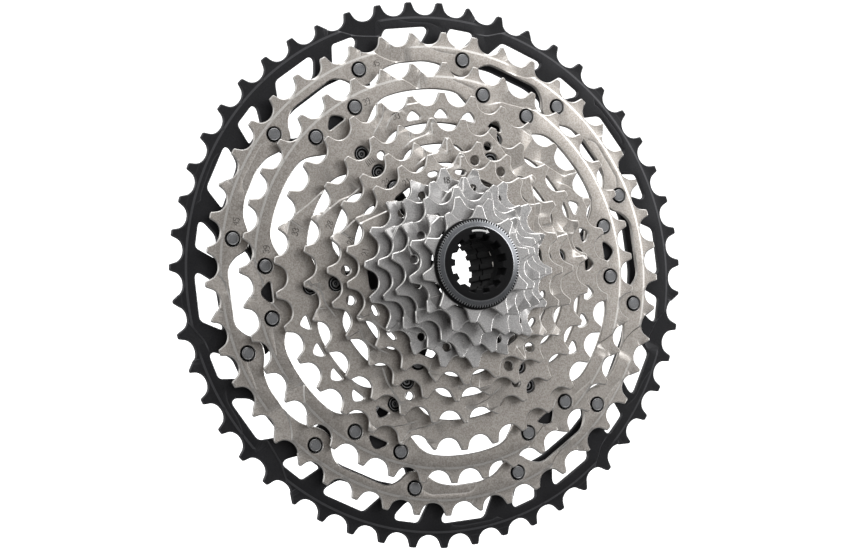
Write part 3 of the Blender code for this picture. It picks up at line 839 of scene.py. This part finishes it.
# Strokes of each digit in a box one wide and two high
strokes = {
    "1": ((0.25, 1.6), (0.6, 2.0), (0.6, 0.0)),
    "2": ((0.0, 1.6), (0.25, 2.0), (0.75, 2.0), (1.0, 1.6), (1.0, 1.25), (0.0, 0.0), (1.0, 0.0)),
    "3": ((0.0, 1.7), (0.3, 2.0), (0.75, 2.0), (1.0, 1.6), (0.75, 1.1), (0.4, 1.05), (0.8, 1.0),
          (1.0, 0.5), (0.75, 0.0), (0.25, 0.0), (0.0, 0.3)),
    "4": ((0.8, 0.0), (0.8, 2.0), (0.0, 0.6), (1.05, 0.6)),
    "5": ((0.95, 2.0), (0.1, 2.0), (0.05, 1.15), (0.6, 1.25), (1.0, 0.85), (1.0, 0.4), (0.7, 0.0),
          (0.25, 0.0), (0.0, 0.25)),
    "8": ((0.5, 1.05), (0.1, 1.35), (0.1, 1.75), (0.4, 2.0), (0.6, 2.0), (0.9, 1.75), (0.9, 1.35),
          (0.05, 0.7), (0.05, 0.25), (0.35, 0.0), (0.65, 0.0), (0.95, 0.25), (0.95, 0.7), (0.5, 1.05)),
    "9": ((0.9, 1.2), (0.6, 0.95), (0.3, 0.95), (0.0, 1.25), (0.0, 1.7), (0.3, 2.0), (0.7, 2.0),
          (1.0, 1.7), (1.0, 0.8), (0.7, 0.0), (0.2, 0.0)),
    "|": ((0.5, 0.0), (0.5, 2.0)),
}
stamp = {"scale": 1.15, "pitch": 1.5, "barPitch": 0.75, "stroke": 0.14, "turns": 6, "sunk": 0.02}
# Tooth counts and batch marks: (text, angle, radius) of each, by ring
stamps = {
    45: (("45", 108.0, 82.4), ("45", 168.5, 82.0)),
    39: (("39", 115.8, 70.0), ("39", 175.0, 70.0)),
    33: (("33", 109.0, 61.0), ("33", 168.0, 61.0)),
    28: (("|||||", 129.0, 50.6), ("28", 162.0, 50.0)),
    24: (("24", 130.0, 41.4), ("24", 167.0, 41.6)),
    21: (("21", 122.0, 37.3), ("21", 172.0, 36.5)),
    18: (("18", 98.9, 32.9),),
}


def bead(line, height):
    # A round bead along a flat line: each section is a circle across the line's direction.
    line = np.array(line)
    along = np.gradient(line, axis=0)
    along /= np.linalg.norm(along, axis=1)[:, None]
    across = np.stack((-along[:, 1], along[:, 0]), axis=1)
    count, turns = len(line), stamp["turns"]
    turn = np.arange(turns) * 2.0 * math.pi / turns
    flat = line[:, None] + across[:, None] * (stamp["stroke"] * np.cos(turn))[None, :, None]
    tall = np.broadcast_to(height + stamp["stroke"] * np.sin(turn), (count, turns))
    points = np.concatenate((flat, tall[:, :, None]), axis=2).reshape(-1, 3)
    faces = np.vstack([strip((row + 1) * turns, row * turns, turns)
                       for row in range(count - 1)]).tolist()
    last = (count - 1) * turns
    return points, faces + [list(range(turns))[::-1], list(range(last, last + turns))]


def makeStamps(teeth):
    # Digits stand on the face with their tops outwards.
    front = heightsOf(f"sprocket_{teeth}t")[1]
    points, faces, base = [], [], 0
    for text, angle, radius in stamps[teeth]:
        up = np.array(polar(angle, 1.0))
        right = np.array((up[1], -up[0]))
        pitch = stamp["barPitch"] if "|" in text else stamp["pitch"]
        for column, mark in enumerate(text):
            shape = np.array(strokes[mark]) * stamp["scale"]
            shape[:, 0] += (column - len(text) / 2.0) * pitch
            line = up * radius + shape[:, :1] * right + (shape[:, 1:] - stamp["scale"]) * up
            beadPoints, beadFaces = bead(line, front - stamp["sunk"])
            points.append(beadPoints)
            faces += [[index + base for index in face] for face in beadFaces]
            base += len(beadPoints)
    mesh = meshFrom(f"stamps{teeth}", np.vstack(points), faces)
    place(f"stamps{teeth}", mesh, [finishes["stamp"]], rings[teeth][3], rings[teeth][4],
          f"sprocket_{teeth}t")


for teeth in stamps:
    makeStamps(teeth)
report("stamped numbers")


rivet = {"head": 2.3, "turns": 28}


def rivetProfile(front, back, sunk):
    # From the middle of the head to the middle of the tail, as (radius, height, edge, and whether
    # the face is painted near-black as shade in the cup or in the gap round the head): the head
    # or, when sunk, a cup with a dished button in it; then a shank and a flat tail.
    size = rivet["head"]
    if sunk:
        floor, top, mouth = front - 1.1, front - cup["drop"], cup["mouth"] - 0.02
        head = ((0.3, top - 0.35, 0.0, True), (0.65, top - 0.35, 0.3, False), (0.85, top, 1.0, False),
                (1.3, top, 0.8, False), (1.4, top - 0.15, 0.0, True), (1.4, floor, 0.0, True),
                (2.05, floor, 0.3, False), (2.15, top + 0.35, 1.0, False),
                (2.4, top + 0.35, 0.3, True), (2.5, floor, 0.0, True), (mouth, floor, 0.0, True))
    else:
        top, mouth = front + 0.28, headGap - 0.02
        head = ((0.5, top, 0.0, False), (1.5, top, 0.7, False), (1.62, top - 0.1, 0.0, False),
                (size - 0.35, top - 0.1, 0.7, False), (size - 0.2, top, 1.0, False),
                (size, top - 0.12, 0.2, True), (size, front - 1.05, 0.0, True),
                (mouth, front - 1.05, 0.0, True))
    return head + ((mouth, front - 1.2, 0.0, False), (1.5, front - 1.2, 0.0, False),
                   (1.5, back - 0.3, 0.0, False), (2.1, back - 0.3, 0.0, False),
                   (size, back - 0.5, 0.0, False), (size, back - 1.0, 1.0, False),
                   (size - 0.3, back - 1.2, 0.0, False), (0.5, back - 1.2, 0.0, False))


def makeRivets(label, row, front, back, body, nodes, sunk=False):
    radii, heights, edge, paintedShade = zip(*rivetProfile(front, back, sunk))
    turns = rivet["turns"]
    for number, (spot, node) in enumerate(zip(rivetPlaces(*row), nodes), 1):
        name = f"{label}_{number:02d}"
        mesh = revolved(name, radii, heights, spot, turns, False, edge[:-1])
        piece = place(name, mesh, [finishes["rivet"], finishes["recessShade"]], body, "rivet_steel", node)
        # Faces marked in the profile get the near-black painted shade of the cup and the gap.
        index = np.concatenate((np.repeat(paintedShade[:-1], turns), (False, False))).astype(np.int32)
        piece.data.polygons.foreach_set("material_index", index)


def nodeRow(stem, count):
    return [f"{stem}_{number:02d}" for number in range(1, count + 1)]


frontOf = {teeth: heightsOf(f"sprocket_{teeth}t")[1] for teeth in rings}
backOf = {teeth: heightsOf(f"sprocket_{teeth}t")[0] for teeth in rings}
# Heights of each carrier's arms: their back, the web's face and the rib's face
largeLevels, smallLevels = (3.9, 5.75, 9.2), (11.6, 12.7, 16.15)
largeWeb, smallWeb = largeLevels[0], smallLevels[0]
makeRivets("outerRivet", outerRivets, frontOf[45], backOf[51], "large_unit",
           nodeRow("rivet_45t", 12))
makeRivets("pairRivet", pairRivets, frontOf[39], largeWeb, "large_unit", nodeRow("rivet_39t", 12))
makeRivets("rimRivet", rimRivets, frontOf[33], smallWeb, "small_unit", nodeRow("rivet_33t", 6), True)
makeRivets("midRivet", midRivets, frontOf[28], smallWeb, "small_unit", nodeRow("rivet_28t", 6), True)
makeRivets("innerRivet", innerRivets, frontOf[24], smallWeb, "small_unit", nodeRow("rivet_24t", 3))
report("rivets")


# Turned rings: outer and bore radii, and how far the corner bevels reach across and along
wideSpacer = {"outer": 19.35, "bore": 16.7, "across": 0.35, "along": 0.35, "turns": 96}
lastSpacer = {"outer": 16.05, "bore": 13.75, "across": 0.35, "along": 0.35, "turns": 96}
washer = {"outer": 15.6, "bore": 13.55, "across": 0.2, "along": 0.1, "turns": 120}


def makeTurned(name, node, ring, look, body):
    # A bevelled ring: its outer wall, then the bore.
    back, front = heightsOf(node)
    outer, bore = ring["outer"], ring["bore"]
    across, along = ring["across"], ring["along"]
    radii = [outer - across, outer, outer, outer - across, bore + across, bore, bore, bore + across]
    heights = [front, front - along, back + along, back, back, back + along, front - along, front]
    mesh = revolved(name, radii, heights, (0.0, 0.0), ring["turns"], True, [1, 0, 1, 0, 1, 0, 1, 0])
    place(name, mesh, [finishes[look]], body, "spacer_alloy", node)


for larger, smaller in ((21, 18), (18, 16), (16, 14), (14, 12)):
    makeTurned(f"spacer{larger}to{smaller}", f"spacer_{larger}t_{smaller}t", wideSpacer, "spacer",
               f"spacer_{larger}_{smaller}")
makeTurned("spacer12to10", "spacer_12t_10t", lastSpacer, "turned", "spacer_12_10")
report("spacers")


def edgeReliefOf(outline, drop, slope):
    # The raised rib: full height inside its outline, falling over "slope" outside it.
    loop = spaced(wound(outline, True), 1.0)
    foot = inset(loop, -slope)
    closed = [np.vstack((row, row[:1])) for row in (loop, foot)]

    def depth(p):
        off = measured(p, closed[0])[1]
        return np.where(insideOf(p, [loop]), 0.0, drop * np.clip(off / slope, 0.0, 1.0))

    return closed, depth


def armOutline(shape):
    mirrored = [(-offset, radius) for offset, radius in reversed(shape) if offset]
    return around(6, firstArm, mirrored + list(shape))


# Half of each arm's web and rib outline, from the arm's tip to the hub, as (angle, radius)
carrierLarge = {
    "web": ((0.0, 72.9), (10.0, 73.6), (12.6, 76.0), (12.7, 85.2), (17.3, 85.2),
            (17.4, 74.5), (15.6, 70.5), (10.5, 66.0), (4.6, 59.0), (10.0, 27.0)),
    "rib": ((0.0, 72.4), (10.6, 73.0), (11.6, 69.5), (7.6, 66.0), (3.6, 58.0), (6.5, 27.0)),
    "levels": largeLevels, "rivets": (outerRivets, pairRivets), "soft": 2.0}
carrierSmall = {
    "web": ((0.0, 57.4), (2.6, 57.0), (3.9, 54.2), (4.6, 47.0), (11.0, 27.0)),
    "rib": ((0.0, 48.3), (3.4, 47.9), (5.6, 41.0), (7.5, 27.0)),
    "levels": smallLevels, "rivets": (rimRivets, midRivets, innerRivets), "soft": 1.6}
hub = {"bore": 17.4, "outer": 19.0, "rivetHole": 1.9, "ribSoft": 1.5, "draft": 0.7}


def makeCarrier(name, node, body, carrier):
    # A forged star: flat web with six arms, a rib with drafted sides along each, rivet holes.
    back, webTop, ribTop = carrier["levels"]
    outline = rounded(armOutline(carrier["web"]), carrier["soft"])
    rib = rounded(armOutline(carrier["rib"]), hub["ribSoft"])
    lines, relief = edgeReliefOf(rib, ribTop - webTop, hub["draft"])
    holes = [hole for row in carrier["rivets"] for hole in rivetHoles(row, hub["rivetHole"])]
    mesh = plateMesh(name, [outline, circle(hub["bore"], 90)] + holes, back, ribTop, relief, lines,
                     0.5, 1.0)
    place(name, mesh, [finishes["black"]], body, "black_anodised", node)
    low, high = heightsOf(node)
    ring = plateMesh(name + "Hub", [circle(hub["outer"], 120), splineEdge()], low, high, None, (),
                     0.4, 0.8)
    place(name + "Hub", ring, [finishes["black"]], body, "black_anodised", node)


def makePosts():
    # Three turned posts that hold the smallest riveted ring off the carrier's rib.
    low, high = smallLevels[2] - 0.35, heightsOf("sprocket_24t")[0] - 0.05
    radii = [0.6, 2.3, 2.6, 2.6, 3.1, 0.6]
    heights = [high, high, high - 0.3, low + 0.8, low, low]
    for number, spot in enumerate(rivetPlaces(*posts), 1):
        mesh = revolved(f"carrierPost_{number}", radii, heights, spot, 32, False, [0, 1, 0, 0.4, 0])
        place(f"carrierPost_{number}", mesh, [finishes["black"]], "small_unit", "black_anodised",
              "carrier_small")


makeCarrier("carrierLarge", "carrier_large", "large_unit", carrierLarge)
makeCarrier("carrierSmall", "carrier_small", "small_unit", carrierSmall)
makePosts()
report("carriers")


lock = {"rim": 16.25, "face": 13.6, "bore": 9.4, "barrel": 13.05, "notches": 12, "notchDepth": 1.5,
        "notchWidth": 2.6, "notchLength": 5.0, "knurls": 96, "knurlDepth": 0.75, "threadPitch": 1.0,
        "threadDepth": 0.4, "flange": 1.4, "turns": 1152}
arrow = {"tail": 104.0, "neck": 77.0, "tip": 71.0, "outer": 12.45, "inner": 11.75, "middle": 12.1,
         "barb": 0.5}


def makeLockring():
    # Profile from the mouth of the bore outwards, over the rim, down the threaded barrel and
    # back up the bore. The bore's radius swells at each notch, and the rim's at each knurl.
    back, front = heightsOf("lockring")
    turn = np.arange(lock["turns"]) * 2.0 * math.pi / lock["turns"]
    across = np.abs((turn * lock["notches"] / (2.0 * math.pi)) % 1.0 - 0.5)
    halfNotch = lock["notchWidth"] / lock["bore"] * lock["notches"] / (4.0 * math.pi)
    notch = lock["notchDepth"] * np.clip((halfNotch - across) / 0.035 + 0.5, 0.0, 1.0)
    knurl = np.abs(2.0 * ((turn * lock["knurls"] / (2.0 * math.pi)) % 1.0) - 1.0)
    knurl = -lock["knurlDepth"] * np.clip(1.6 * knurl - 0.3, 0.0, 1.0)
    bore, face, rim = lock["bore"], lock["face"], lock["rim"]
    seat = front - lock["flange"]
    none = np.zeros_like(turn)
    rows = [(bore + 0.3 + notch, front + none), (bore + 2.2 + none, front + none),
            (face - 0.3 + none, front + none), (face + none, front - 0.12 + none),
            (face + 0.3 + none, front - 0.2 + none), (rim - 1.0 + none, front - 0.45 + none),
            (rim - 0.9 + none, front - 0.5 + none), (rim - 0.1 + knurl, front - 0.7 + none),
            (rim + knurl, seat + 0.25 + none), (rim - 0.9 + none, seat + none),
            (lock["barrel"] + 0.2 + none, seat + none)]
    # Brighter edge values on the rim's bevel and knurl tops: partly wear, partly painted highlight.
    edge = [0, 0, 0.7, 0.8, 0.15, 0.5, 1, 1, 0.3, 0]
    steps = np.arange(seat - 0.4, back + 0.6, -0.25)
    for height in steps:
        phase = (height / lock["threadPitch"] + turn / (2.0 * math.pi)) % 1.0
        rows.append((lock["barrel"] - lock["threadDepth"] * np.abs(2.0 * phase - 1.0), height + none))
        edge.append(0.3)
    rows += [(lock["barrel"] - 0.8 + none, back + none), (bore + 0.4 + none, back + none),
             (bore + none, back + 0.4 + none), (bore + none, front - lock["notchLength"] + none),
             (bore + notch * 0.96, front - lock["notchLength"] + 0.35 + none),
             (bore + notch, front - 0.3 + none)]
    edge += [0.3, 0.3, 0.2, 0.0, 0.0, 0.0, 0.5]
    mesh = revolved("lockring", [r for r, _ in rows], [h for _, h in rows], (0.0, 0.0),
                    lock["turns"], True, edge)
    piece = place("lockring", mesh, [finishes["black"], finishes["ring"], finishes["recessShade"]], "lock",
                  "black_anodised", "lockring")
    rim, knurled = slice(3, 10), slice(6, 9)
    index = np.zeros((len(rows), lock["turns"]), np.int32)
    index[rim] = 1
    # The knurl's valleys get the near-black painted shade.
    index[knurled, np.flatnonzero(knurl < -0.3 * lock["knurlDepth"])] = 2
    piece.data.polygons.foreach_set("material_index", index.ravel())


def makeMark():
    # A curved arrow on the lockring's face: the turning direction that tightens it.
    front = heightsOf("lockring")[1]
    turn = np.linspace(arrow["tail"], arrow["neck"], 22)
    outer = [polar(angle, arrow["outer"]) for angle in turn]
    inner = [polar(angle, arrow["inner"]) for angle in turn[::-1]]
    head = [polar(arrow["neck"], arrow["outer"] + arrow["barb"]), polar(arrow["tip"], arrow["middle"]),
            polar(arrow["neck"], arrow["inner"] - arrow["barb"])]
    outline = outer + head + inner
    mesh = plateMesh("turnMark", [np.array(outline)], front - 0.06, front + 0.02, None, (), 0.02, 0.4)
    place("turnMark", mesh, [finishes["paint"]], "lock", "black_anodised", "lockring")


makeLockring()
makeMark()
makeTurned("washer", "lock_washer", washer, "turned", "washer")
report("lockring")


def paint(name, color, glow):
    made = bpy.data.materials.new(name)
    made.use_nodes = True
    shader = made.node_tree.nodes["Principled BSDF"]
    shader.inputs["Base Color"].default_value = (*color, 1.0)
    shader.inputs["Roughness"].default_value = 0.9
    shader.inputs["Emission Color"].default_value = (*color, 1.0)
    shader.inputs["Emission Strength"].default_value = glow
    return made


def makeRoom(room):
    # A pale floor that curves up into a pale wall behind.
    turn = np.linspace(0.0, math.pi / 2.0, 24)
    far, curve = room["far"], room["curve"]
    depth = np.concatenate(([-room["near"]], far + curve * np.sin(turn), [far + curve]))
    height = np.concatenate(([0.0], curve * (1.0 - np.cos(turn)), [room["top"]])) + room["floor"]
    points = [(side * room["half"], y, z) for side in (-1, 1) for y, z in zip(depth, height)]
    count = len(depth)
    faces = [(k, k + count, k + count + 1, k + 1) for k in range(count - 1)]
    mesh = bpy.data.meshes.new("sweep")
    mesh.from_pydata(points, [], faces)
    mesh.shade_smooth()
    mesh.materials.append(paint("paleSweep", (0.95, 0.95, 0.95), room["glow"]))
    sweep = bpy.data.objects.new("sweep", mesh)
    bpy.context.scene.collection.objects.link(sweep)
    sweep.visible_diffuse = False
    sweep.visible_glossy = False


def addLight(name, where, size, power):
    # An area light that faces the middle of the object.
    lamp = bpy.data.lights.new(name, "AREA")
    lamp.shape = "RECTANGLE"
    lamp.size, lamp.size_y = size
    lamp.energy = power
    holder = bpy.data.objects.new(name, lamp)
    bpy.context.scene.collection.objects.link(holder)
    holder.location = where
    holder.rotation_euler = (-Vector(where)).to_track_quat("-Z", "Y").to_euler()


def makeSky(sky):
    # The studio round the object: bright overhead, dim below.
    world = bpy.data.worlds.new("studio")
    bpy.context.scene.world = world
    world.use_nodes = True
    tree = world.node_tree
    where = addNode(tree, "ShaderNodeTexCoord", {}, {}, output=0)
    up = addNode(tree, "ShaderNodeSeparateXYZ", {}, {0: where}, output=2)
    shade = blend(tree, band(tree, up, -0.5, 0.8), (sky["below"],) * 3, (sky["above"],) * 3)
    tree.links.new(shade.socket, tree.nodes["Background"].inputs["Color"])


makeRoom({"near": 2.5, "far": 1.2, "curve": 0.6, "top": 3.0, "half": 4.0, "floor": -0.1048,
          "glow": 0.9})
addLight("overhead", (0.25, -0.35, 1.1), (1.2, 0.9), 8.5)
addLight("frontRight", (1.0, -0.85, 0.5), (0.8, 0.8), 7.5)
addLight("frontLeft", (-1.1, -0.6, 0.3), (0.5, 0.9), 1.5)
addLight("rimRight", (1.3, 0.6, 0.2), (0.8, 1.2), 10.0)
addLight("behindLeft", (-0.9, 1.2, 0.5), (0.8, 0.8), 5.0)

makeSky({"below": 0.3, "above": 0.72})

shot = {"where": (-0.3656, -0.9244, -0.0846), "toward": (0.36417, 0.92751, 0.08430),
        "lens": 110.83, "film": 36.0}
lens = bpy.data.cameras.new("camera")
lens.lens, lens.sensor_width = shot["lens"], shot["film"]
camera = bpy.data.objects.new("camera", lens)
bpy.context.scene.collection.objects.link(camera)
camera.location = shot["where"]
camera.rotation_euler = Vector(shot["toward"]).to_track_quat("-Z", "Y").to_euler()
bpy.context.scene.camera = camera
bpy.context.scene.view_settings.view_transform = "Standard"
